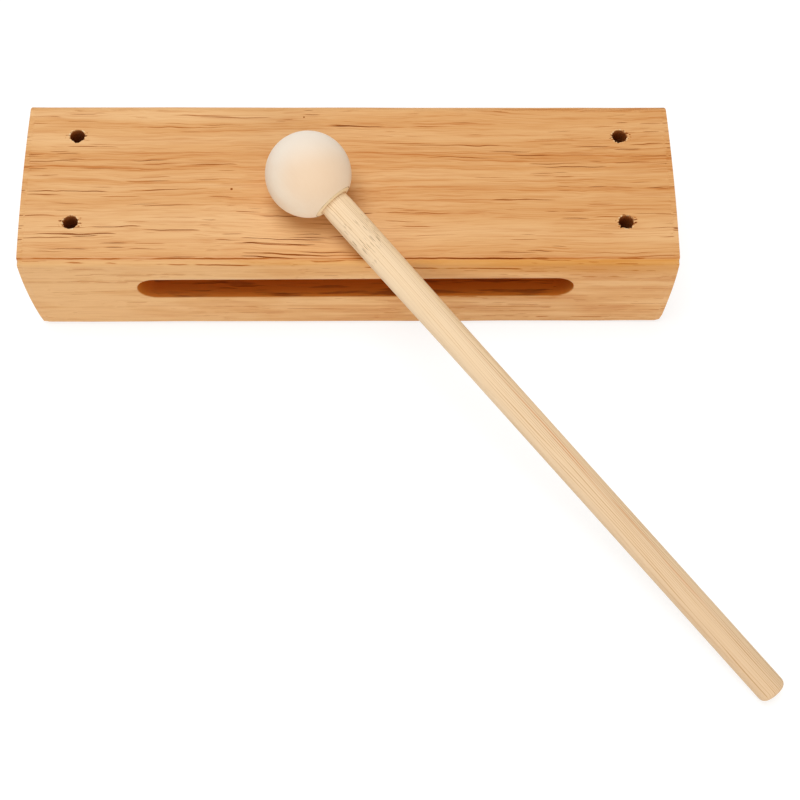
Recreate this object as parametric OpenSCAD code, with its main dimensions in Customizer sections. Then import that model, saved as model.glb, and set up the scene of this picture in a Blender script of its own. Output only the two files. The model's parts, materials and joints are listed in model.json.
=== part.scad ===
// A woodblock and its mallet. The block is one piece of hardwood with a long sound slot routed into its
// front face and four holes drilled down through it. The mallet is a turned ball on a dowel: its head
// lies on the block and its tail on the table in front of it.
// X runs along the block, Y from front to back and Z up, from the middle of the block's underside.

/* [Block] */
// Length, along the grain
block_length = 200; // [160:1:260]
// Width, from front to back
block_width = 56; // [46:1:80]
// Height
block_height = 40; // [34:1:56]
// Radius sanded on the four long arrises
arris_r = 2; // [0.8:0.1:4]
// Radius sanded on the arrises round each end
end_arris_r = 0.8; // [0.4:0.1:4]
// How far the middle of each end stands proud of its front and back edges
end_crown_across = 0.4; // [0.2:0.1:2]
// How far the middle of each end stands proud of its top and bottom edges
end_crown_up = 0.8; // [0.2:0.1:2]

/* [Sound slot] */
// Height of the slot, which its round ends follow
slot_height = 11.5; // [7:0.5:15]
// Wood left over the slot
top_wall = 10; // [6:0.5:14]
// Wood left behind the slot
back_wall = 14; // [6:0.5:24]
// Wood left between the slot's tip and the left end
left_wall = 35.1; // [22:0.1:60]
// Wood left between the slot's tip and the right end
right_wall = 31.4; // [22:0.1:60]

/* [Holes] */
// Diameter of the drilled holes
hole_d = 4.5; // [3:0.1:8]
// From each end to the middle of its holes
hole_from_end = 16.5; // [8:0.1:18]
// From the front face to the middle of the front holes
hole_from_front = 14; // [8:0.1:18]
// From the back face to the middle of the back holes
hole_from_back = 11.5; // [8:0.1:18]

/* [Mallet head] */
// Diameter of the ball
head_d = 25.5; // [20:0.5:36]
// Diameter of the flat that the stick goes into
head_flat_d = 13; // [11:0.5:18]
// Depth of the bore for the stick
head_bore_depth = 16; // [8:0.5:18]
// Chamfer round the mouth of the bore
mouth_chamfer = 0.4; // [0.1:0.1:1]

/* [Mallet stick] */
// Diameter of the dowel
stick_d = 8.8; // [7:0.1:10]
// Length of the whole mallet, with its head
mallet_length = 215.8; // [170:0.1:280]
// Radius rounded on the tail's rim
tail_r = 2; // [0.5:0.1:3]
// Glue line round the stick
glue_gap = 0.05; // [0.02:0.01:0.1]
// Glue pocket between the stick's inner end and the bottom of the bore
glue_pocket = 0.6; // [0.2:0.1:0.9]

/* [Place of the mallet] */
// How far the head's middle lies left of the block's middle
head_left = 12; // [0:1:40]
// How far the head's middle lies behind the front face
head_inset = 22.5; // [14:0.5:30]
// Angle between the stick and the block, seen from above
mallet_heading = 47; // [40:1:80]
// Air between the mallet and the block it rests on
rest_gap = 0.3; // [0.1:0.1:1]

/* [Hidden] */
$fn = 96;
// the crowned ends are arcs of a very large circle
crown_fn = 720;
// how far a cut runs past the wood
overrun = 3;

block_colour = [0.87, 0.65, 0.42];
head_colour = [0.94, 0.85, 0.74];
stick_colour = [0.92, 0.79, 0.63];

// the slot's place
slot_left = left_wall - block_length / 2;
slot_right = block_length / 2 - right_wall;
slot_level = block_height - top_wall - slot_height / 2;
slot_back = block_width / 2 - back_wall;

// the mallet along its own axis, from the middle of the head
head_r = head_d / 2;
stick_r = stick_d / 2;
flat_at = sqrt(pow(head_r, 2) - pow(head_flat_d / 2, 2));
bore_at = flat_at - head_bore_depth;
tail_at = mallet_length - head_r;

// The mallet touches the table with the rounded rim of its tail. Leaning by an angle, it holds the
// middle of its head at head_height. The stick's underside crosses the front face at stick_over_front.
rim_at = tail_at - tail_r;
rim_over = stick_r - tail_r;
seat = block_height + rest_gap;
head_to_front = head_inset / sin(mallet_heading);
function head_height(lean) = tail_r + rim_at * sin(lean) + rim_over * cos(lean);
function stick_over_front(lean) = head_height(lean) - head_to_front * tan(lean) - stick_r / cos(lean);

// It settles on its head, or on the front arris where the stick would reach that first.
lean_on_head = asin((seat + head_r - tail_r) / norm([rim_at, rim_over])) - atan2(rim_over, rim_at);
steepest_lean = 45;
halvings = 40;
function lean_on_arris(low, high, left) =
    let (middle = (low + high) / 2)
    left == 0 ? high
    : stick_over_front(middle) < seat ? lean_on_arris(middle, high, left - 1)
    : lean_on_arris(low, middle, left - 1);
mallet_lean = stick_over_front(lean_on_head) < seat
    ? lean_on_arris(lean_on_head, steepest_lean, halvings)
    : lean_on_head;

// A rectangle with rounded corners
module rounded_rectangle(size) {
    square([size.x - 2 * arris_r, size.y], center = true);
    square([size.x, size.y - 2 * arris_r], center = true);
    for (x = [-1, 1], y = [-1, 1])
        translate([x * (size.x / 2 - arris_r), y * (size.y / 2 - arris_r)])
            circle(r = arris_r);
}

// A rectangle with rounded corners whose two short ends are crowned by a large arc
module crowned_rectangle(size, crown) {
    corner_y = size.y / 2 - end_arris_r;
    corner_x = size.x / 2 - end_arris_r - crown;
    // the corners' roundings touch the crown from inside
    crown_r = (pow(corner_y, 2) + pow(crown, 2)) / (2 * crown) + end_arris_r;
    touch_y = corner_y * crown_r / (crown_r - end_arris_r);
    square([2 * corner_x, size.y], center = true);
    for (x = [-1, 1], y = [-1, 1])
        translate([x * corner_x, y * corner_y])
            circle(r = end_arris_r);
    intersection() {
        square([size.x, 2 * touch_y], center = true);
        translate([size.x / 2 - crown_r, 0])
            circle(r = crown_r, $fn = crown_fn);
        translate([crown_r - size.x / 2, 0])
            circle(r = crown_r, $fn = crown_fn);
    }
}

// The sanded timber before the slot and the holes: its outlines from above, in front and the end
module sanded_timber() {
    intersection() {
        linear_extrude(block_height)
            crowned_rectangle([block_length, block_width], end_crown_across);
        translate([0, block_width / 2, block_height / 2])
            rotate([90, 0, 0])
                linear_extrude(block_width)
                    crowned_rectangle([block_length, block_height], end_crown_up);
        translate([-block_length / 2, 0, block_height / 2])
            rotate([90, 0, 90])
                linear_extrude(block_length)
                    rounded_rectangle([block_width, block_height]);
    }
}

// The cut of the sound slot, with the round ends that the router bit leaves
module sound_slot() {
    round_r = slot_height / 2;
    cut_length = slot_back + block_width / 2 + overrun;
    translate([0, slot_back, slot_level])
        rotate([90, 0, 0]) {
            translate([slot_left + round_r, -round_r, 0])
                cube([slot_right - slot_left - slot_height, slot_height, cut_length]);
            for (x = [slot_left + round_r, slot_right - round_r])
                translate([x, 0, 0])
                    cylinder(r = round_r, h = cut_length);
        }
}

// The four holes, drilled right through
module drilled_holes() {
    for (x = [hole_from_end - block_length / 2, block_length / 2 - hole_from_end])
        for (y = [hole_from_front - block_width / 2, block_width / 2 - hole_from_back])
            translate([x, y, -overrun])
                cylinder(d = hole_d, h = block_height + 2 * overrun);
}

module block() {
    color(block_colour)
        difference() {
            sanded_timber();
            sound_slot();
            drilled_holes();
        }
}

// Lays what is drawn along the Z axis, with the head's middle at the origin, where the mallet rests
module lay_mallet() {
    translate([-head_left, head_inset - block_width / 2, head_height(mallet_lean)])
        rotate([0, 90 + mallet_lean, -mallet_heading])
            children();
}

module mallet_head() {
    bore_d = stick_d + 2 * glue_gap;
    color(head_colour)
        lay_mallet()
            difference() {
                sphere(d = head_d);
                translate([0, 0, flat_at])
                    cylinder(d = head_d, h = head_r);
                translate([0, 0, bore_at])
                    cylinder(d = bore_d, h = head_bore_depth + overrun);
                translate([0, 0, flat_at - mouth_chamfer])
                    cylinder(d1 = bore_d, d2 = bore_d + 2 * mouth_chamfer, h = mouth_chamfer);
            }
}

module mallet_stick() {
    inner_end = bore_at + glue_pocket;
    color(stick_colour)
        lay_mallet()
            rotate_extrude() {
                translate([0, inner_end])
                    square([stick_r, rim_at - inner_end]);
                translate([0, inner_end])
                    square([rim_over, tail_at - inner_end]);
                // the rounded rim of the tail
                translate([rim_over, rim_at])
                    intersection() {
                        circle(r = tail_r);
                        square(tail_r);
                    }
            }
}

block();
mallet_head();
mallet_stick();
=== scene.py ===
import json
from math import asin, atan2, cos, hypot, pi, radians, sin, sqrt, tan
from types import SimpleNamespace

import bmesh
import bpy
from mathutils import Matrix, Vector, noise


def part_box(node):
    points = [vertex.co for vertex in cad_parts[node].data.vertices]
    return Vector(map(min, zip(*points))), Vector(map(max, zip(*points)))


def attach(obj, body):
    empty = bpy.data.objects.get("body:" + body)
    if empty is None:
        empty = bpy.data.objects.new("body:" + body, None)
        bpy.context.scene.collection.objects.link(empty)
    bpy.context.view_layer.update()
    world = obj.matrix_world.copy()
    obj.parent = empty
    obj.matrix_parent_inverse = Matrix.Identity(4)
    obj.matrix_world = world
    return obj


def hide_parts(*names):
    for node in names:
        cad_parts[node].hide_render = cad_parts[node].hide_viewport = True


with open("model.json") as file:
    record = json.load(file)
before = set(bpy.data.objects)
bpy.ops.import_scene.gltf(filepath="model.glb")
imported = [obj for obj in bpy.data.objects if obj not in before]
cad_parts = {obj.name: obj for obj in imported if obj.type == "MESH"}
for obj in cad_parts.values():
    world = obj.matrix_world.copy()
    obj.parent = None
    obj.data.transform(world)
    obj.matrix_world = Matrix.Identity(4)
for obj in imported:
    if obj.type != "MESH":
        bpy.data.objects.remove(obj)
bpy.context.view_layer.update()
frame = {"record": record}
scene = bpy.context.scene
scene.view_settings.view_transform = "Standard"
MM = 0.001


# Camera
# It stands in front of the block and looks steeply down on it, as the photographer did. Its place,
# its angles and its lens were fitted to the block's outline in the 800 x 800 picture.
camera_place = Vector((4.344, -254.466, 450.473)) * MM
camera_pitch = radians(66.0712)
camera_yaw = radians(-3.19298)
camera_roll = radians(-2.72365)
lens_mm = 70.757
sensor_mm = 36

outwards = cos(camera_pitch)
forward = Vector((-sin(camera_yaw) * outwards, cos(camera_yaw) * outwards, -sin(camera_pitch)))
level = Vector((cos(camera_yaw), sin(camera_yaw), 0))
downward = forward.cross(level)
to_right = cos(camera_roll) * level + sin(camera_roll) * downward
to_bottom = cos(camera_roll) * downward - sin(camera_roll) * level
camera_axes = Matrix((to_right, -to_bottom, -forward)).transposed()
camera = bpy.data.objects.new("camera", bpy.data.cameras.new("camera"))
scene.collection.objects.link(camera)
camera.data.lens = lens_mm
camera.data.sensor_width = sensor_mm
camera.matrix_world = Matrix.Translation(camera_place) @ camera_axes.to_4x4()
scene.camera = camera


# Block
# The real block is one length of light hardwood, planed, rounded by hand on a belt sander and lacquered.
# A router cut the sound slot into its front face, and a drill went down through it four times and tore
# the wood a little where it came out.
block_low, block_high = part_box("block")
block_length, block_width, block_height = [round(size / MM, 3) for size in block_high - block_low]
front_y = -block_width / 2

arris_r = 2
arris_steps = 5
flats_along, flats_across, flats_up = 56, 16, 12
arris_wear = 0.16
corner_wear = 0.45
wear_patch = 17
foot_height = 1
face_hollow = 0.05
end_crown = 0.41
left_end_back = {"top": 0.7, "bottom": 0.75}
right_end_back = {"top": 0.6, "bottom": 0.25}
left_end_lean = 1.2
end_sharpness = 0.7
foot_sharpness = {"left": 0.6, "right": 0.35}

slot_left = -64.9
slot_right = 68.6
slot_bottom = 18.5
slot_top = 30
slot_back = 14
slot_ease = 0.35
slot_drop = 0.8

top_holes = next(mount for mount in frame["record"]["mounts"] if mount["name"] == "top_holes")
hole_d = 2.0 * top_holes["dims"]["hole_r_mm"]
holes_apart_x = float(top_holes["dims"]["spacing_x_mm"])
holes_apart_y = float(top_holes["dims"]["spacing_y_mm"])
holes_behind = round(top_holes["pos_m"][1] / MM, 3)
chip_depth = 0.9
chip_reach = 1.1


class Value:
    """A number, colour or vector that varies over a piece. Sums written with it add nodes to its tree."""

    def __init__(self, tree, socket):
        self.tree = tree
        self.socket = socket

    def __add__(self, other):
        return self.tree.sum("ADD", self, other)

    def __radd__(self, other):
        return self.tree.sum("ADD", other, self)

    def __sub__(self, other):
        return self.tree.sum("SUBTRACT", self, other)

    def __rsub__(self, other):
        return self.tree.sum("SUBTRACT", other, self)

    def __mul__(self, other):
        return self.tree.sum("MULTIPLY", self, other)

    def __rmul__(self, other):
        return self.tree.sum("MULTIPLY", other, self)

    def __truediv__(self, other):
        return self.tree.sum("DIVIDE", self, other)

    def __pow__(self, power):
        return self.tree.sum("POWER", self, power)

    def __abs__(self):
        return self.tree.sum("ABSOLUTE", self)

    def output(self, name):
        return Value(self.tree, self.socket.node.outputs[name])


class Tree:
    """The nodes of a finish, of the world, or of a jig that cuts a mesh."""

    def __init__(self, nodes):
        self.nodes = nodes
        nodes.nodes.clear()

    def add(self, kind, settings=None, sockets=None, out=0):
        """Adds a node, sets it up, feeds its sockets with values or links, and returns one output."""
        node = self.nodes.nodes.new(kind)
        for name, setting in (settings or {}).items():
            setattr(node, name, setting)
        for key, fed in (sockets or {}).items():
            if isinstance(fed, Value):
                self.nodes.links.new(fed.socket, node.inputs[key])
            else:
                node.inputs[key].default_value = fed
        return Value(self, node.outputs[out]) if len(node.outputs) else None

    def sum(self, operation, *values):
        return self.add("ShaderNodeMath", {"operation": operation}, dict(enumerate(values)))

    def most(self, *values):
        """The largest of several values."""
        largest = values[0]
        for value in values[1:]:
            largest = self.sum("MAXIMUM", largest, value)
        return largest

    def vector(self, operation, *values):
        return self.add("ShaderNodeVectorMath", {"operation": operation}, dict(enumerate(values)))

    def place(self):
        """The piece's own coordinates in millimetres."""
        return self.vector("MULTIPLY", self.add("ShaderNodeTexCoord", out="Object"), (1 / MM, 1 / MM, 1 / MM))

    def parts(self, vector):
        """The X, Y and Z of a vector."""
        x = self.add("ShaderNodeSeparateXYZ", None, {"Vector": vector}, "X")
        return x, x.output("Y"), x.output("Z")

    def stretch(self, place, lengths):
        """Coordinates in which a feature of the given lengths along x, y and z is one unit large."""
        return self.vector("DIVIDE", place, lengths)

    def noise(self, place, detail=2.0, roughness=0.5, out="Fac"):
        settings = {"noise_dimensions": "3D"}
        return self.add("ShaderNodeTexNoise", settings,
                        {"Vector": place, "Scale": 1.0, "Detail": detail, "Roughness": roughness}, out)

    def rise(self, value, low, high):
        """A soft step from 0 at low to 1 at high."""
        return self.add("ShaderNodeMapRange", {"interpolation_type": "SMOOTHSTEP"},
                        {"Value": value, "From Min": low, "From Max": high})

    def band(self, value, middle, half_width):
        """1 at the middle, and softly down to 0 at half_width on both sides."""
        return 1 - self.rise(abs(value - middle), 0, half_width)

    def spots(self, place, lengths, low, high, detail=1, roughness=0.5):
        """Random spots of about the given lengths. Low and high say how much they cover and how softly."""
        return self.rise(self.noise(self.stretch(place, lengths), detail, roughness), low, high)

    def waver(self, place, lengths, reach):
        """A slow random shift that changes over the given lengths, by half of reach either way."""
        drift = self.noise(self.stretch(place, lengths), detail=1, out="Color")
        return self.vector("MULTIPLY", self.vector("SUBTRACT", drift, (0.5, 0.5, 0.5)), reach)

    def mix(self, share, first, second):
        return self.add("ShaderNodeMix", {"data_type": "RGBA"}, {0: share, 6: first, 7: second}, out=2)


def colour(red, green, blue):
    """A shade as a paint chart gives it, 0 to 255, turned into the linear colour that a finish takes."""
    def linear(shade):
        share = shade / 255
        return share / 12.92 if share <= 0.04045 else ((share + 0.055) / 1.055) ** 2.4
    return (linear(red), linear(green), linear(blue), 1)


def finish_tree(name):
    """A new material and its empty tree."""
    material = bpy.data.materials.new(name)
    material.use_nodes = True
    return material, Tree(material.node_tree)


def finish_shader(tree, base, roughness, height, relief, further):
    """Closes a tree with its shader. A height of 1 stands for relief millimetres, and further holds the
    other sockets that are set."""
    bump = tree.add("ShaderNodeBump", None, {"Height": height, "Strength": 1.0, "Distance": relief * MM})
    sockets = {"Base Color": base, "Roughness": roughness, "Normal": bump}
    sockets.update(further)
    shader = tree.add("ShaderNodeBsdfPrincipled", None, sockets)
    tree.add("ShaderNodeOutputMaterial", None, {"Surface": shader})


def vessels(tree, place, length, across, radius, softness):
    """Open vessels of the wood, as thin spindles lying along the grain that the surface cuts through.

    Each one fills a cell of the given length and width. Radius is a share of the cell."""
    cells = tree.add("ShaderNodeTexVoronoi", {"voronoi_dimensions": "3D"},
                     {"Vector": tree.stretch(place, (length, across, across)), "Scale": 1.0}, "Distance")
    depth = tree.add("ShaderNodeClamp", None, {"Value": (radius - cells) / softness})
    shade = tree.add("ShaderNodeSeparateColor", None, {"Color": cells.output("Color")})
    return depth * (0.4 + 0.6 * shade)


pale_wood = colour(232, 185, 131)
tan_wood = colour(219, 163, 104)
orange_wood = colour(205, 138, 75)
# a paler yellow for the front, partly its own tone and partly painted light
front_yellow_tone_and_light = colour(222, 179, 117)
streak_brown = colour(184, 106, 40)
stain_brown = colour(170, 87, 16)
vessel_brown = colour(110, 45, 7)
arris_orange = colour(210, 144, 58)
# the slot's wood: painted shade of the recess, partly the cutter's scorch
slot_scorch_and_shade = colour(205, 102, 14)
slot_mouth_scorch_and_shade = colour(222, 136, 48)
slot_streak_scorch_and_shade = colour(120, 44, 6)
slot_vessel_scorch_and_shade = colour(60, 18, 2)
# painted shade for the holes' walls
hole_shade_brown = colour(150, 72, 14)
torn_pale = colour(246, 220, 176)

# growth bands across the planed top: the middle in Y, the half width, and how much darker than the
# wood round them they are at the left and at the right end
top_bands = (
    (23.5, 3.0, -0.3, 0.2),
    (14.5, 2.6, -0.25, 0.2),
    (9.2, 2.3, 0.5, 0.5),
    (5.3, 1.4, 0.6, 0.55),
    (0.5, 1.4, 0.6, 0.1),
    (-2.5, 1.7, 0.0, 0.65),
    (-6.4, 1.3, 0.1, 0.1),
    (-17.0, 9.0, -0.3, -0.35),
)
# the same down the front face, with the middle in Z
front_bands = (
    (33.5, 2.2, -0.2, 0.0),
    (29.0, 1.6, 0.2, 0.3),
    (17.0, 1.6, 0.0, 0.25),
    (12.0, 1.8, -0.1, 0.3),
    (8.0, 1.5, 0.25, 0.1),
    (2.0, 2.6, 0.3, 0.2),
)
# tiny dark knots in the top: X, Y and radius
pin_knots = (
    (-35.7, -2.5, 0.55),
    (-14.1, 23.4, 0.4),
)


def plank_coordinates(tree):
    """Where a point of the block lies: along, behind and up, on which face, and in its wavering grain."""
    at = SimpleNamespace(place=tree.place())
    at.along, at.depth, at.height = tree.parts(at.place)
    at.to_right = tree.rise(at.along, -80, 80)
    at.on_top = tree.rise(at.height, block_height - 2.5, block_height - 0.5)
    at.in_front = 1 - tree.rise(at.depth, front_y + 0.5, front_y + 2.5)
    at.endways = abs(tree.parts(tree.add("ShaderNodeTexCoord", out="Normal"))[0])
    at.end_grain = tree.rise(at.endways, 0.3, 0.8)
    # the grain swings slowly over the length and trembles a little, and every streak and vessel with it
    swing = tree.waver(at.place, (60, 26, 26), (0, 4.5, 3))
    tremor = tree.waver(at.place, (7, 3, 3), (0, 0.9, 0.2))
    at.grain = tree.vector("ADD", tree.vector("ADD", at.place, swing), tremor)
    return at


def growth_shade(tree, at):
    """How dark the growth rings make the wood, from about 0 to 1, with the front paler at its left, partly
    its own tone and partly painted light.
    """
    # the rings lie round a pith below the block and a little in front of its middle
    pith_y, pith_z = -20, -60
    across, up = tree.parts(at.grain)[1:]
    ring = ((across - pith_y) ** 2 + (up - pith_z) ** 2) ** 0.5
    ring_place = tree.add("ShaderNodeCombineXYZ", None, {"X": at.along / 260, "Y": ring / 1.7, "Z": 0.0})
    rings = tree.noise(ring_place, detail=3, roughness=0.6)
    broad = tree.noise(tree.stretch(at.grain, (80, 6, 6)), detail=1)
    bands = 0.0
    for chart, face, where in ((top_bands, at.on_top, across), (front_bands, at.in_front, up)):
        for middle, half_width, at_left, at_right in chart:
            darker = at_left + (at_right - at_left) * at.to_right
            bands = bands + face * tree.band(where, middle, half_width) * darker
    shade = 0.47 + 0.9 * (rings - 0.5) + 0.5 * (broad - 0.5) + 0.65 * bands + 0.1 * (at.to_right - 0.5)
    # the front is paler at the left, partly its own tone and partly painted light, and cloudier than the top
    front_left_tone_and_light = at.in_front * (1 - tree.rise(at.along, -75, 0))
    cloudy = tree.noise(tree.stretch(at.grain, (28, 6, 5)), detail=2)
    return shade - 0.42 * front_left_tone_and_light + 2.4 * at.in_front * (cloudy - 0.5)


def planed_wood(tree, at, fibres):
    """The wood without its vessels: shaded rings, soft streaks, thin lines and single fibres."""
    shade = growth_shade(tree, at)
    wood = tree.mix(tree.rise(shade, 0.05, 0.6), pale_wood, tan_wood)
    wood = tree.mix(tree.rise(shade, 0.4, 1.25), wood, orange_wood)
    # the whole front is a little paler and yellower, partly its own tone and partly painted light
    wood = tree.mix(0.25 * at.in_front, wood, front_yellow_tone_and_light)
    # the front cuts the rings more flatly, so its streaks are broader
    narrow = tree.spots(at.grain, (36, 0.65, 0.65), 0.5, 0.66, detail=3, roughness=0.6)
    broad = tree.spots(at.grain, (30, 1.5, 1.3), 0.52, 0.68, detail=3, roughness=0.6)
    streaks = tree.most(narrow * (1 - 0.35 * at.in_front), 0.35 * at.in_front * broad)
    wood = tree.mix(0.8 * streaks * (0.4 + 0.6 * tree.rise(shade, 0.35, 0.9)), wood, streak_brown)
    lines = tree.spots(at.grain, (26, 0.34, 0.34), 0.53, 0.66, detail=2, roughness=0.6)
    lines = lines * (0.5 - 0.25 * at.in_front)
    wood = tree.mix(lines * (0.4 + 0.6 * tree.rise(shade, 0.3, 0.8)), wood, streak_brown)
    wood = tree.mix(0.25 * (1 - tree.rise(fibres, 0.3, 0.55)), wood, pale_wood)
    wood = tree.mix((0.2 - 0.1 * at.in_front) * tree.rise(fibres, 0.5, 0.75), wood, streak_brown)
    # the cut ends are a little darker
    return tree.mix(0.25 * at.end_grain, wood, orange_wood)


def arris_wood(tree, at, wood):
    """Colours the wood at the front arris, where two dark rings run out, and returns it with the rings."""
    # how far a point lies behind the arris on the top, or with a minus sign below it on the front
    from_arris = at.depth - front_y - (block_height - at.height)
    waver = tree.noise(tree.stretch(at.place, (9, 60, 60)), detail=3) - 0.5
    broken = tree.noise(tree.stretch(at.place, (14, 90, 90)), detail=2)
    torn_out = tree.band(at.along, 45, 40)
    long_side = tree.most(at.on_top, at.in_front) * (1 - at.end_grain)
    upper_ring = tree.band(from_arris, 1.4 + 0.9 * waver, 0.45) * (0.75 + 0.45 * torn_out)
    upper_ring = upper_ring * (0.35 + 0.65 * tree.rise(broken, 0.42, 0.56))
    lower_ring = tree.band(from_arris + 0.03 * at.along, -2.6 - 1.6 * waver, 0.5)
    lower_ring = lower_ring * tree.rise(broken, 0.48, 0.6)
    wood = tree.mix(0.3 * long_side * tree.band(from_arris, 1.2, 2.2), wood, streak_brown)
    # the wood under the arris is orange, and more so to the right
    under = at.in_front * (1 - at.end_grain) * tree.rise(at.height, block_height - 9, block_height - 3.5)
    under = under * (1 - tree.rise(from_arris, 0.6, 1.4)) * tree.rise(at.along, -60, 50)
    wood = tree.mix(0.6 * under, wood, arris_orange)
    return wood, long_side * tree.most(upper_ring, 0.8 * lower_ring)


def vessel_marks(tree, at):
    """How deep the open vessels are: many fine ones, fewer coarse ones and a few very long ones."""
    gather = tree.spots(at.grain, (60, 3, 3), 0.34, 0.7)
    gather = tree.most(gather, 0.9 * tree.band(at.depth, -18, 8) * (1 - tree.rise(at.along, -60, -5)))
    fine = vessels(tree, at.grain, 70, 0.6, 0.12 + 0.13 * gather, 0.07)
    coarse = vessels(tree, at.grain, 120, 0.9, 0.085 + 0.085 * gather, 0.045)
    threads = vessels(tree, at.grain, 300, 1.2, 0.06 + 0.06 * gather, 0.03)
    marks = tree.most(0.85 * fine, coarse, threads) * (1 - 0.45 * at.in_front)
    # none of them shows lengthwise on the cut ends
    return marks * (1 - tree.rise(at.endways, 0.05, 0.3))


def knot_marks(tree, at):
    """The pin knots in the top."""
    marks = []
    for knot_x, knot_y, knot_r in pin_knots:
        from_knot = ((at.along - knot_x) ** 2 + (at.depth - knot_y) ** 2) ** 0.5
        marks.append(at.on_top * tree.band(from_knot, 0, knot_r))
    return tree.most(*marks)


def drill_marks(tree, at):
    """How far a point lies from the axis of its nearest hole, and what the drill left beside the hole.

    These are dark specks and pale torn fibres, most of them along the grain."""
    off_x = abs(at.along) - holes_apart_x / 2
    off_y = abs(at.depth - holes_behind) - holes_apart_y / 2
    from_axis = (off_x ** 2 + off_y ** 2) ** 0.5
    beside = tree.band(from_axis, hole_d / 2 + 0.5, 1.3) * (1 - tree.rise(abs(off_y), 0.6, 2.2))
    speckle = tree.noise(tree.stretch(at.place, (0.9, 0.45, 0.9)), detail=2)
    specks = beside * tree.rise(speckle, 0.56, 0.64)
    torn = tree.band(from_axis, hole_d / 2 + 0.1, 0.6) * (1 - tree.rise(speckle, 0.36, 0.46))
    return from_axis, specks, torn


def scorched_and_shaded_slot(tree, at, wood, marks):
    """Darkens the wood inside the slot with painted shade of the recess and partly with the cutter's scorch,
    and returns it with where the slot is.
    """
    slot_slope = slot_drop / (slot_right - slot_left)
    slot_level = (slot_bottom + slot_top) / 2 - slot_slope * (slot_right - at.along)
    half_height = (slot_top - slot_bottom) / 2
    in_slot = (tree.rise(at.depth, front_y + 0.05, front_y + 0.55)
               * (1 - tree.rise(at.depth, slot_back + 0.5, slot_back + 1))
               * (1 - tree.rise(abs(at.height - slot_level), half_height + 0.15, half_height + 0.65))
               * tree.rise(at.along, slot_left - 1, slot_left - 0.2)
               * (1 - tree.rise(at.along, slot_right + 0.2, slot_right + 1)))
    # painted shade: the slot's wood is darkest deep in, and painted light makes it lighter near the mouth and
    # most of all at the tips
    at_tip = tree.most(1 - tree.rise(at.along, slot_left, slot_left + 2.5),
                       tree.rise(at.along, slot_right - 2.5, slot_right))
    slot_dark_streaks = tree.spots(at.grain, (24, 1.8, 1.8), 0.5, 0.66, detail=3, roughness=0.6)
    near_mouth = 1 - tree.rise(at.depth, front_y, front_y + 6)
    slot_shaded_wood = tree.mix((0.6 + 0.4 * at_tip) * near_mouth, slot_scorch_and_shade, slot_mouth_scorch_and_shade)
    slot_shaded_wood = tree.mix(0.65 * slot_dark_streaks * (1 - tree.rise(at.endways, 0.1, 0.6)), slot_shaded_wood, slot_streak_scorch_and_shade)
    slot_shaded_wood = tree.mix(0.9 * marks, slot_shaded_wood, slot_vessel_scorch_and_shade)
    return tree.mix(0.9 * in_slot, wood, slot_shaded_wood), in_slot


def hardwood_finish():
    """Lacquered hardwood: growth rings cut lengthwise, soft streaks and fine dark vessels along X."""
    material, tree = finish_tree("lacquered_hardwood")
    at = plank_coordinates(tree)
    fibres = tree.noise(tree.stretch(at.grain, (16, 0.22, 0.22)), detail=1)
    wood = planed_wood(tree, at, fibres)
    wood, dark_rings = arris_wood(tree, at, wood)
    from_axis, specks, torn = drill_marks(tree, at)
    wood = tree.mix(0.7 * torn, wood, torn_pale)

    # a vessel stains the wood round it, so it is warm at its edges and dark in its middle
    marks = tree.most(vessel_marks(tree, at), 0.9 * dark_rings, specks, knot_marks(tree, at))
    wood = tree.mix(0.8 * tree.rise(marks, 0, 0.4), wood, stain_brown)
    wood = tree.mix(tree.rise(marks, 0.25 + 0.1 * at.in_front, 1), wood, vessel_brown)

    # the holes' walls are rough and darkened with painted shade, and neither they nor the slot took any
    # lacquer
    wood, in_slot = scorched_and_shaded_slot(tree, at, wood, marks)
    half_height = block_height / 2
    under_skin = 1 - tree.rise(abs(at.height - half_height), half_height - 0.8, half_height - 0.1)
    in_hole = (1 - tree.rise(from_axis, hole_d / 2, hole_d / 2 + 0.6)) * under_skin
    wood = tree.mix(0.85 * in_hole, wood, hole_shade_brown)
    bare = tree.most(marks, in_slot, in_hole)
    finish_shader(tree, wood, 0.5 + 0.25 * bare + 0.06 * fibres, 0.35 * fibres - marks, 0.04, {
        "Specular IOR Level": 0.0, "Coat Weight": 1 - tree.rise(bare, 0, 0.3),
        "Coat Roughness": 0.38, "Coat IOR": 1.22})
    return material


def stations(half, flats):
    """Where the grid lines of the timber cross one axis: close over the arrises, even over the flat."""
    inner = half - arris_r
    # the last line on the flat lies close to the arris, so that the shading of the flat ends there
    close_to_arris = 0.4
    holding = inner - close_to_arris
    over_arris = [inner + arris_r * tan(pi / 4 * step / arris_steps) for step in range(arris_steps + 1)]
    over_flat = [holding * (2 * step / flats - 1) for step in range(flats + 1)]
    return [-place for place in reversed(over_arris)] + over_flat + over_arris


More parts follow.
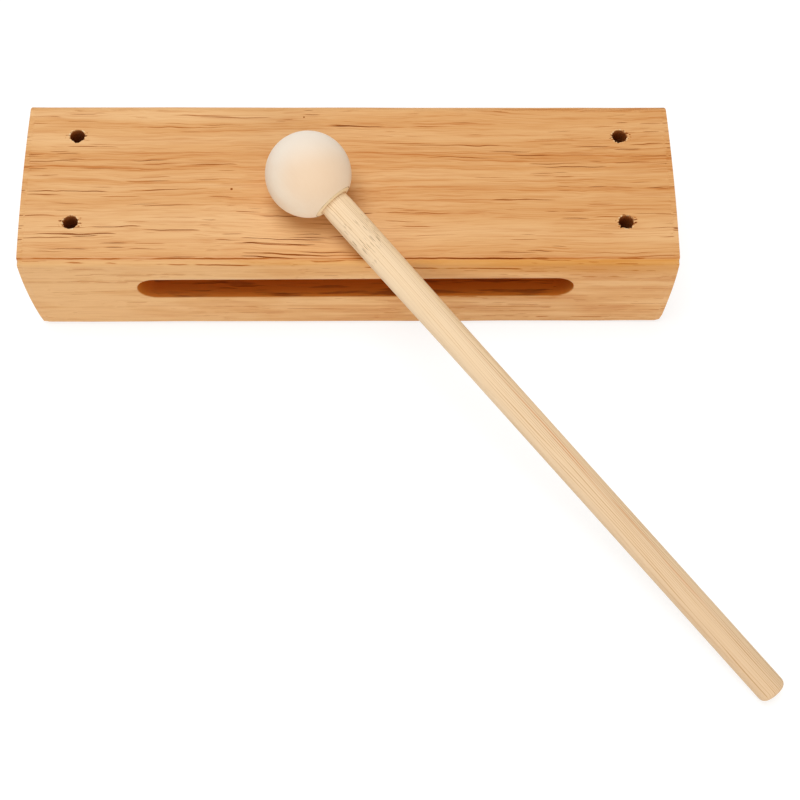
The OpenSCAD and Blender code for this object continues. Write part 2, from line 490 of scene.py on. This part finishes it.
def sanded(point):
    """Moves a point of the squared timber to where the belt sander leaves it, never out of the timber."""
    half = Vector((block_length, block_width, block_height)) / 2
    core = Vector([max(arris_r - h, min(h - arris_r, p)) for p, h in zip(point, half)])
    outward = (point - core).normalized()
    on_arris = sorted(abs(step) for step in outward)[1] > 0.01
    wear = arris_wear if on_arris else face_hollow
    loss = wear * (0.5 + 0.5 * noise.noise(core / wear_patch))
    if core.y < 0:
        # times 27, the square is 1 in the middle of a corner
        loss += corner_wear * 27 * (outward.x * outward.y * outward.z) ** 2
    place = core + outward * (arris_r - loss)
    # the arrises round the ends were touched less than the long ones, and least of all higher up
    at_end = max((2 * outward.x * outward.y) ** 2, (2 * outward.x * outward.z) ** 2)
    at_foot = core.z <= foot_height - half.z + arris_r
    sharpness = foot_sharpness["right" if core.x > 0 else "left"] if at_foot else end_sharpness
    place = place.lerp(point, sharpness * min(1, at_end))
    # both ends bulge a little, and neither is quite square
    end_back = right_end_back if core.x > 0 else left_end_back
    across = end_crown * (core.y / (half.y - arris_r)) ** 2
    up = end_back["top" if core.z > 0 else "bottom"] * (core.z / (half.z - arris_r)) ** 2
    lean = left_end_lean * (0.5 - core.z / block_height) if core.x < 0 else 0
    # a high odd power leaves all but the ends where it is
    place.x -= (across + up + lean) * (core.x / (half.x - arris_r)) ** 9
    return place + Vector((0, 0, half.z))


def sanded_timber():
    """The timber before its slot and holes, as a closed grid of quads over its six faces."""
    axes = [stations(block_length / 2, flats_along), stations(block_width / 2, flats_across),
            stations(block_height / 2, flats_up)]
    timber = bmesh.new()
    corners = {}

    def corner(index):
        if index not in corners:
            point = Vector([axes[axis][index[axis]] for axis in range(3)])
            corners[index] = timber.verts.new(sanded(point))
        return corners[index]

    for facing in range(3):
        first, second = (facing + 1) % 3, (facing + 2) % 3
        last = len(axes[facing]) - 1
        for side in (0, last):
            for i in range(len(axes[first]) - 1):
                for j in range(len(axes[second]) - 1):
                    quad = []
                    for step_i, step_j in ((0, 0), (1, 0), (1, 1), (0, 1)):
                        index = [0, 0, 0]
                        index[facing] = side
                        index[first] = i + step_i
                        index[second] = j + step_j
                        quad.append(corner(tuple(index)))
                    timber.faces.new(quad if side == last else reversed(quad))
    return timber


def slot_outline(grow):
    """Points round the slot's opening, counter-clockwise from in front, grown outwards by grow.

    The router ran slightly downhill, so the left tip lies slot_drop lower than the right one."""
    middle_z = (slot_bottom + slot_top) / 2
    round_r = (slot_top - slot_bottom) / 2
    tip_steps = 28
    points = []
    for centre_x, start in ((slot_right - round_r, -pi / 2), (slot_left + round_r, pi / 2)):
        for step in range(tip_steps + 1):
            angle = start + pi * step / tip_steps
            x = centre_x + (round_r + grow) * cos(angle)
            drop = slot_drop * (slot_right - x) / (slot_right - slot_left)
            points.append((x, middle_z - drop + (round_r + grow) * sin(angle)))
    return points


def slot_cutter():
    """What the router takes away: a round-ended channel whose mouth is eased with sandpaper."""
    ease_angles = (12, 32, 52, 71, 90)
    clear_of_face = 1
    clear_round_mouth = 1.2
    rings = [(front_y - clear_of_face, slot_ease + clear_round_mouth)]
    for angle in ease_angles:
        turned_by = radians(angle)
        rings.append((front_y + slot_ease * (1 - cos(turned_by)), slot_ease * (1 - sin(turned_by))))
    rings.append((slot_back, 0))
    cutter = bmesh.new()
    loops = []
    for y, grow in rings:
        loops.append([cutter.verts.new((x, y, z)) for x, z in slot_outline(grow)])
    for near, far in zip(loops, loops[1:]):
        for k in range(len(near)):
            n = (k + 1) % len(near)
            cutter.faces.new((near[k], far[k], far[n], near[n]))
    cutter.faces.new(loops[0])
    cutter.faces.new(list(reversed(loops[-1])))
    bmesh.ops.recalc_face_normals(cutter, faces=cutter.faces)
    return cutter


def as_object(name, build):
    """Turns a bmesh into an object of the scene."""
    mesh = bpy.data.meshes.new(name)
    build.to_mesh(mesh)
    build.free()
    piece = bpy.data.objects.new(name, mesh)
    scene.collection.objects.link(piece)
    return piece


def drilling_jig(material):
    """A geometry tree that drills the four holes and tears chips from the rims of their mouths.

    It is returned with the identifiers of its inputs."""
    inputs = {"Timber": "Geometry", "Hole Diameter": "Float", "Apart Along": "Float", "Apart Across": "Float",
              "Chip Depth": "Float", "Chip Reach": "Float", "Timber Height": "Float", "Middle": "Vector"}
    nodes = bpy.data.node_groups.new("drilling_jig", "GeometryNodeTree")
    identifiers = {}
    for name, kind in inputs.items():
        socket = nodes.interface.new_socket(name, in_out="INPUT", socket_type="NodeSocket" + kind)
        identifiers[name] = socket.identifier
    nodes.interface.new_socket("Block", in_out="OUTPUT", socket_type="NodeSocketGeometry")
    tree = Tree(nodes)
    given = tree.add("NodeGroupInput", out="Timber")

    marks = tree.add("GeometryNodeMeshGrid", None, {
        "Size X": given.output("Apart Along"), "Size Y": given.output("Apart Across"),
        "Vertices X": 2, "Vertices Y": 2})
    middle = given.output("Middle")
    marks = tree.add("GeometryNodeTransform", None, {"Geometry": marks, "Translation": middle})
    kept = nodes.nodes.new("GeometryNodeCaptureAttribute")
    kept.capture_items.new("VECTOR", "Axis")
    nodes.links.new(marks.socket, kept.inputs["Geometry"])
    nodes.links.new(tree.add("GeometryNodeInputPosition").socket, kept.inputs["Axis"])
    marks = Value(tree, kept.outputs["Geometry"])
    axis = marks.output("Axis")

    overrun = 3
    around, rings = 72, 40
    drill = tree.add("GeometryNodeMeshCylinder", None, {
        "Vertices": around, "Side Segments": rings, "Radius": given.output("Hole Diameter") / 2,
        "Depth": given.output("Timber Height") + 2 * overrun})
    drills = tree.add("GeometryNodeInstanceOnPoints", None, {"Points": marks, "Instance": drill})
    drills = tree.add("GeometryNodeRealizeInstances", None, {"Geometry": drills})

    # the drills' rings crowd towards both mouths, where the chips are
    half = given.output("Timber Height") / 2
    x, y, z = tree.parts(tree.add("GeometryNodeInputPosition"))
    from_middle = (z - half) / half
    inside = tree.sum("MINIMUM", abs(from_middle), 1)
    crowded = inside * (1.9 - 0.9 * inside) + (abs(from_middle) - inside)
    crowded = half + half * crowded * tree.sum("SIGN", from_middle)
    crowded = tree.add("ShaderNodeCombineXYZ", None, {"X": x, "Y": y, "Z": crowded})
    drills = tree.add("GeometryNodeSetPosition", None, {"Geometry": drills, "Position": crowded})

    # a chip is torn outwards, further along the grain than across it
    here = tree.add("GeometryNodeInputPosition")
    away = tree.vector("MULTIPLY", tree.vector("SUBTRACT", here, axis), (1, 1, 0))
    away = tree.vector("NORMALIZE", away)
    at_mouth = tree.rise(abs(tree.parts(here)[2] - half), half - given.output("Chip Reach"), half)
    torn = tree.spots(here, (0.8, 0.5, 2), 0.48, 0.7, detail=2, roughness=0.6)
    along_grain = abs(tree.parts(away)[0])
    reach = given.output("Chip Depth") * torn * at_mouth * (0.45 + 0.55 * along_grain)
    offset = tree.add("ShaderNodeVectorMath", {"operation": "SCALE"}, {0: away, "Scale": reach})
    drills = tree.add("GeometryNodeSetPosition", None, {"Geometry": drills, "Offset": offset})

    drilled = tree.add("GeometryNodeMeshBoolean", {"operation": "DIFFERENCE", "solver": "EXACT"},
                       {"Mesh 1": given, "Mesh 2": drills})
    drilled = tree.add("GeometryNodeSetMaterial", None, {"Geometry": drilled, "Material": material})
    tree.add("NodeGroupOutput", None, {"Block": drilled})
    return nodes, identifiers


def made_plain(piece):
    """Replaces an object's mesh by what its modifiers make of it, and takes the modifiers off."""
    evaluated = piece.evaluated_get(bpy.context.evaluated_depsgraph_get())
    mesh = bpy.data.meshes.new_from_object(evaluated)
    piece.modifiers.clear()
    piece.data = mesh


def finished(piece, body, node):
    """Turns a piece into metres, shades it, and puts it in the place of its CAD node."""
    sharp_from = radians(35)
    piece.data.transform(Matrix.Scale(MM, 4))
    piece.data.shade_smooth()
    piece.data.set_sharp_from_angle(angle=sharp_from)
    weighted = piece.modifiers.new("flat_faces_stay_flat", "WEIGHTED_NORMAL")
    weighted.keep_sharp = True
    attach(piece, body)
    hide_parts(node)


block = as_object("routed_block", sanded_timber())
router = as_object("router", slot_cutter())
routing = block.modifiers.new("slot", "BOOLEAN")
routing.operation = "DIFFERENCE"
routing.solver = "EXACT"
routing.object = router
made_plain(block)
bpy.data.objects.remove(router)

jig, jig_inputs = drilling_jig(hardwood_finish())
jig_sizes = {
    "Hole Diameter": hole_d, "Apart Along": holes_apart_x, "Apart Across": holes_apart_y,
    "Chip Depth": chip_depth, "Chip Reach": chip_reach, "Timber Height": block_height,
    "Middle": Vector((0, holes_behind, block_height / 2))}
drilling = block.modifiers.new("holes", "NODES")
drilling.node_group = jig
for name, size in jig_sizes.items():
    drilling[jig_inputs[name]] = size
made_plain(block)
finished(block, "block", "block")


# Mallet head
# The real head is a turned ball of very pale, close-grained wood, sanded smooth and left bare. It is
# flattened a little where the stick goes in, and its bore is filled by the glued stick.
head_d = 25.5
head_flat_d = 13
bore_d = 8.9
bore_depth = 16
mouth_chamfer = 0.4
flat_cone = 0.35
# small facets break the rim of the flat: how far each point lies in from the rim, and up from it
rim_points = ((0.12, -0.06), (0.3, 0.02))

ball_pale = colour(241, 225, 205)
ball_grain = colour(230, 203, 174)
ball_cloud = colour(236, 212, 187)
# painted shade for the side that lies upwards and a little forward, painted light for the side behind it, and
# the directions of these two sides
ball_painted_warm_shade = colour(226, 191, 154)
ball_painted_light = colour(244, 231, 215)
painted_shade_towards = (0.2, -0.47, 0.86)
painted_light_towards = (-0.2, 0.75, 0.63)
flat_cream = colour(240, 216, 164)
# painted shade of the groove round the flat's rim, over a line of glue
rim_glue_and_shade_brown = colour(104, 62, 24)

# the mallet lies on its head and stands on the rim of its tail, so its lean follows from the stick too
stick_d = 8.8
mallet_length = 215.8
tail_r = 2
rest_gap = 0.3
head_middle = Vector((-12, -5.5, block_height + rest_gap + head_d / 2))
mallet_heading = radians(47)
rim_at = mallet_length - head_d / 2 - tail_r
rim_over = stick_d / 2 - tail_r
mallet_lean = asin((head_middle.z - tail_r) / hypot(rim_at, rim_over)) - atan2(rim_over, rim_at)
flat_at = sqrt((head_d / 2) ** 2 - (head_flat_d / 2) ** 2)


def lay_mallet(piece):
    """Lays what is turned about the Z axis, with the head's middle at the origin, where the mallet rests."""
    lean = Matrix.Rotation(pi / 2 + mallet_lean, 4, "Y")
    heading = Matrix.Rotation(-mallet_heading, 4, "Z")
    piece.data.transform(Matrix.Translation(head_middle) @ heading @ lean)


def lathe_coordinates(tree):
    """Coordinates of the laid mallet: X from the head's middle down the stick, Y and Z across it."""
    turning = (0.0, mallet_lean, -mallet_heading)
    return tree.add("ShaderNodeMapping", {"vector_type": "TEXTURE"}, {
        "Vector": tree.place(), "Location": tuple(head_middle), "Rotation": turning})


def turned(name, profile, around):
    """A closed piece turned on a lathe: a profile of (radius, height), swept round the Z axis."""
    build = bmesh.new()
    angles = [2 * pi * k / around for k in range(around)]
    circle = [(cos(angle), sin(angle)) for angle in angles]
    loops = []
    for radius, height in profile:
        if radius == 0:
            loops.append([build.verts.new((0, 0, height))] * around)
        else:
            loops.append([build.verts.new((radius * x, radius * y, height)) for x, y in circle])
    for low, high in zip(loops, loops[1:]):
        for k in range(around):
            n = (k + 1) % around
            corners = [low[k], low[n], high[n], high[k]]
            build.faces.new([v for i, v in enumerate(corners) if v not in corners[:i]])
    bmesh.ops.recalc_face_normals(build, faces=build.faces)
    return as_object(name, build)


def ball_profile():
    """From the ball's far pole round to the flat, over the bore's mouth and down to its bottom.

    The flat rises a little towards the stick, so its rim shows as a fine edge."""
    r = head_d / 2
    rings = 48
    rim_angle = asin(flat_at / r)
    profile = [(0, -r)]
    for step in range(1, rings + 1):
        angle = -pi / 2 + (rim_angle + pi / 2) * step / rings
        profile.append((r * cos(angle), r * sin(angle)))
    for inwards, up in rim_points:
        profile.append((head_flat_d / 2 - inwards, flat_at + up))
    bore_r = bore_d / 2
    mouth_at = flat_at + flat_cone
    profile.append((bore_r + mouth_chamfer, mouth_at))
    profile.append((bore_r, mouth_at - mouth_chamfer))
    profile.append((bore_r, flat_at - bore_depth))
    profile.append((0, flat_at - bore_depth))
    return profile


def ball_finish():
    """Bare pale wood with the faintest grain, darker and warmer on one side from painted shade, palest on the
    other from painted light, and a brown line of glue and painted shade round the flat's rim.
    """
    material, tree = finish_tree("bare_pale_ball")
    turn = lathe_coordinates(tree)
    grain = tree.noise(tree.stretch(turn, (14, 0.6, 0.6)), detail=3)
    cloud = tree.noise(tree.stretch(turn, (9, 6, 6)), detail=1)
    base = tree.mix(0.12 * tree.rise(grain, 0.3, 0.75), ball_pale, ball_grain)
    base = tree.mix(0.3 * tree.rise(cloud, 0.4, 0.7), base, ball_cloud)
    # painted shade: the wood is darker and warmer on the side that lies upwards and a little forward, and
    # painted light makes it palest behind that
    outward = tree.vector("SUBTRACT", tree.place(), tuple(head_middle))
    painted_shade_side = tree.vector("DOT_PRODUCT", outward, painted_shade_towards).output("Value") / (head_d / 2)
    base = tree.mix(0.65 * tree.rise(painted_shade_side, 0.42, 1), base, ball_painted_warm_shade)
    painted_light_side = tree.vector("DOT_PRODUCT", outward, painted_light_towards).output("Value") / (head_d / 2)
    base = tree.mix(0.6 * tree.rise(painted_light_side, 0.2, 0.9), base, ball_painted_light)
    # the flat is cut across the fibres, and a thin brown line of glue, with painted shade of the fine groove
    # there, lies round its rim
    along, across, up = tree.parts(turn)
    from_axis = (across ** 2 + up ** 2) ** 0.5
    base = tree.mix(0.5 * tree.rise(along, flat_at - 0.12, flat_at), base, flat_cream)
    broken = tree.spots(turn, (1.5, 1.5, 1.5), 0.45, 0.6, detail=2)
    rim = tree.band(from_axis, head_flat_d / 2 - 0.15, 0.24) * tree.rise(along, flat_at - 0.3, flat_at - 0.1)
    base = tree.mix(rim * (0.3 + 0.7 * broken), base, rim_glue_and_shade_brown)
    finish_shader(tree, base, 0.72 + 0.08 * grain, grain, 0.005, {"Specular IOR Level": 0.3})
    return material


head = turned("turned_head", ball_profile(), around=96)
head.data.materials.append(ball_finish())
lay_mallet(head)
finished(head, "mallet", "mallet_head")


# Mallet stick
# The real stick is a straight machine-made dowel of pale wood with fine straight grain, its tail end
# rounded on the belt sander. It is glued into the head and left bare.
glue_pocket = 0.6
stick_inner = flat_at - bore_depth + glue_pocket
stick_swell = 0.2
swell_share = 0.35
tail_wear = 0.02

dowel_pale = colour(237, 209, 172)
dowel_tail = colour(223, 192, 156)
# painted light for the dowel's two sides
dowel_back_painted_light = colour(250, 220, 178)
dowel_front_painted_light = colour(247, 226, 196)
dowel_fibre = colour(216, 179, 132)
growth_brown = colour(176, 128, 70)
streak_orange = colour(205, 121, 50)
fleck_brown = colour(122, 82, 34)
ring_spacing = 0.6


def stick_profile():
    """From the dowel's inner end in the head to the middle of its rounded tail.

    Outside the head it swells a hair's breadth and then thins again over its first third."""
    profile = [(0, stick_inner), (stick_d / 2, stick_inner), (stick_d / 2, flat_at)]
    lengths = 60
    for step in range(1, lengths + 1):
        share = step / lengths
        swell = stick_swell * max(0, 1 - (share / swell_share) ** 2) ** 2
        profile.append((stick_d / 2 + swell, flat_at + (rim_at - flat_at) * share))
    tail_steps = 8
    for step in range(1, tail_steps + 1):
        angle = pi / 2 * step / tail_steps
        profile.append((rim_over + tail_r * cos(angle), rim_at + (tail_r - tail_wear) * sin(angle)))
    profile.append((0, rim_at + tail_r - tail_wear))
    return profile


def stick_finish():
    """Bare pale dowel wood: straight fine grain, thin growth lines, orange streaks and dark flecks."""
    material, tree = finish_tree("bare_pale_dowel")
    turn = lathe_coordinates(tree)
    along, sideways = tree.parts(turn)[:2]
    near_head = tree.band(along, 26, 12)
    near_tail = tree.rise(along, 30, 200)
    grain = tree.vector("ADD", turn, tree.waver(turn, (60, 9, 9), (0, 2, 2)))
    fibres = tree.noise(tree.stretch(grain, (30, 0.35, 0.35)), detail=2, roughness=0.6)

    # painted light makes the sides of the dowel a little paler, and most so near the head
    back_side_light = tree.rise(sideways, 0.9, 2.9)
    front_side_light = tree.rise(-1 * sideways, 2.2, stick_d / 2)
    base = tree.mix(near_tail, dowel_pale, dowel_tail)
    base = tree.mix((0.75 - 0.3 * near_tail) * back_side_light, base, dowel_back_painted_light)
    base = tree.mix((0.4 - 0.35 * near_tail) * front_side_light, base, dowel_front_painted_light)
    base = tree.mix(0.25 * tree.rise(fibres, 0.35, 0.7), base, dowel_fibre)

    # where the surface follows a ring, on the dowel's two sides, the lines spread out and fade
    uneven = tree.noise(tree.stretch(grain, (70, 1.5, 1.5)), detail=2)
    rings = 0.5 + 0.5 * tree.sum("SINE", (2 * pi / ring_spacing) * tree.parts(grain)[1] + 11 * uneven)
    lines = tree.rise(rings, 0.8, 0.99) * (0.15 + 0.85 * tree.spots(grain, (40, 1.2, 1.2), 0.35, 0.65))
    lines = lines * (1 - 0.7 * tree.rise(abs(sideways), 3, stick_d / 2))
    base = tree.mix(0.75 * lines, base, growth_brown)

    # halfway down, fine orange streaks run along one side, and behind the head lie dark flecks
    on_streaks = tree.band(sideways, 0.9, 1.3) * tree.band(along, 125, 75)
    streaks = vessels(tree, grain, 70, 0.6, 0.42, 0.14) * on_streaks
    flecks = vessels(tree, grain, 5, 0.34, 0.06 + 0.26 * near_head, 0.05)
    base = tree.mix(streaks, base, streak_orange)
    base = tree.mix(0.85 * flecks, base, fleck_brown)
    finish_shader(tree, base, 0.62 + 0.1 * fibres, fibres, 0.03, {"Specular IOR Level": 0.35})
    return material


stick = turned("dowel_stick", stick_profile(), around=72)
stick.data.materials.append(stick_finish())
lay_mallet(stick)
finished(stick, "mallet", "mallet_stick")


# Floor and light
# The object stands on a plain white floor in a white tent, so nearly even light comes from all round.
# A wide soft lamp above and behind it throws the ball's and the stick's soft shadows forward.
floor_half = 3.0
floor_gap = 0.0002
surroundings = 0.43
paper_white = (0.9, 0.9, 0.9, 1)
paper_faint = (0.3, 0.3, 0.3, 1)
paper_glow = (0.78, 0.78, 0.78, 1)
paper_glow_far_out = (0.862, 0.88, 0.903, 1)
tent_white = (1, 1, 1, 1)
tent_tint = (1, 0.86, 0.68, 1)
lamp_from = Vector((-0.15, 0.05, 0.98))
lamp_away = 1.5
lamp_width = 0.95
lamp_power = 16.9
lamp_tint = (0.79, 0.885, 1)
fill_from = Vector((0.28, -0.93, 0.24))
fill_away = 1.6
fill_width = 1.2
fill_power = 8.9
fill_tint = (1, 0.95, 0.86)


def seen_directly(tree):
    """1 for what the camera sees, also in a gloss or through glass, and 0 for what lights the object."""
    ray = tree.add("ShaderNodeLightPath", out="Is Camera Ray")
    return tree.most(ray, ray.output("Is Glossy Ray"), ray.output("Is Transmission Ray"))


def paper_finish():
    """White paper that lights the object as paper does, and that looks white wherever no shadow falls."""
    material, tree = finish_tree("white_paper")
    plain = tree.add("ShaderNodeBsdfDiffuse", None, {"Color": paper_white})
    faint = tree.add("ShaderNodeBsdfDiffuse", None, {"Color": paper_faint})
    # it glows a little more further out, where the lamps fade, so it stays white up to the horizon
    outward = tree.add("ShaderNodeTexCoord", out="Object")
    far_out = tree.rise(tree.vector("LENGTH", outward).output("Value"), 0.4, 2.4)
    glow_colour = tree.mix(far_out, paper_glow, paper_glow_far_out)
    glow = tree.add("ShaderNodeEmission", None, {"Color": glow_colour, "Strength": 1.0})
    shown = tree.add("ShaderNodeAddShader", None, {0: faint, 1: glow})
    either = tree.add("ShaderNodeMixShader", None, {0: seen_directly(tree), 1: plain, 2: shown})
    tree.add("ShaderNodeOutputMaterial", None, {"Surface": either})
    return material


def soft_lamp(name, toward, away, width, power, tint):
    """A round soft lamp that faces the middle of the block."""
    data = bpy.data.lights.new(name, "AREA")
    data.shape = "DISK"
    data.size = width
    data.energy = power
    data.color = tint
    lamp = bpy.data.objects.new(name, data)
    scene.collection.objects.link(lamp)
    lamp.location = toward.normalized() * away
    lamp.rotation_mode = "QUATERNION"
    lamp.rotation_quaternion = toward.to_track_quat("Z", "Y")


floor_mesh = bpy.data.meshes.new("floor")
floor_corners = [(x * floor_half, y * floor_half, 0) for x, y in ((-1, -1), (1, -1), (1, 1), (-1, 1))]
floor_mesh.from_pydata(floor_corners, [], [(0, 1, 2, 3)])
floor_mesh.materials.append(paper_finish())
floor = bpy.data.objects.new("floor", floor_mesh)
scene.collection.objects.link(floor)
floor.location.z = -floor_gap

world = bpy.data.worlds.new("white_tent")
scene.world = world
world.use_nodes = True
tent = Tree(world.node_tree)
seen = seen_directly(tent)
tent_colour = tent.mix(seen, tent_tint, tent_white)
tent_strength = surroundings + (1 - surroundings) * seen
tent_light = tent.add("ShaderNodeBackground", None, {"Color": tent_colour, "Strength": tent_strength})
tent.add("ShaderNodeOutputWorld", None, {"Surface": tent_light})

soft_lamp("lamp_above", lamp_from, lamp_away, lamp_width, lamp_power, lamp_tint)
soft_lamp("lamp_in_front", fill_from, fill_away, fill_width, fill_power, fill_tint)
